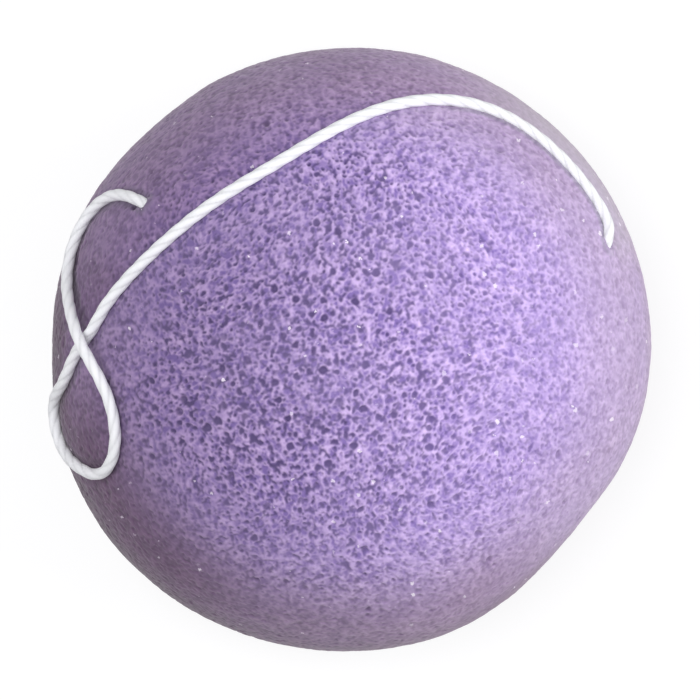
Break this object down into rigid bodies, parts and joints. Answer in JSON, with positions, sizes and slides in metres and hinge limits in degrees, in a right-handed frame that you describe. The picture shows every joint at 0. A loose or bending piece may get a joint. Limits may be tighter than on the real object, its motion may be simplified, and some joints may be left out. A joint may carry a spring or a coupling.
{
  "type": "konjac sponge",
  "caption": "Soft half-ball facial sponge of porous konjac, flat on its back, with a limp cotton hanging cord threaded through it and knotted inside.",
  "frame": {"origin": "middle of the flat back, which is the underside as the sponge lies", "axes": "+Z out of the flat back through the top of the dome; the picture looks down along -Z, with +X to its right and +Y to its top"},
  "size_m": [0.0781, 0.0783, 0.043],
  "materials": {
    "konjac": "soft open-pored konjac foam, matt, lilac with darker purple pores",
    "cotton": "plain twisted cotton, white and a little fuzzy"
  },
  "bodies": {
    "root": {"sponge_body": "konjac", "hanging_cord": "cotton", "left_cord_end": "cotton", "right_cord_end": "cotton"}
  },
  "joints": []
}
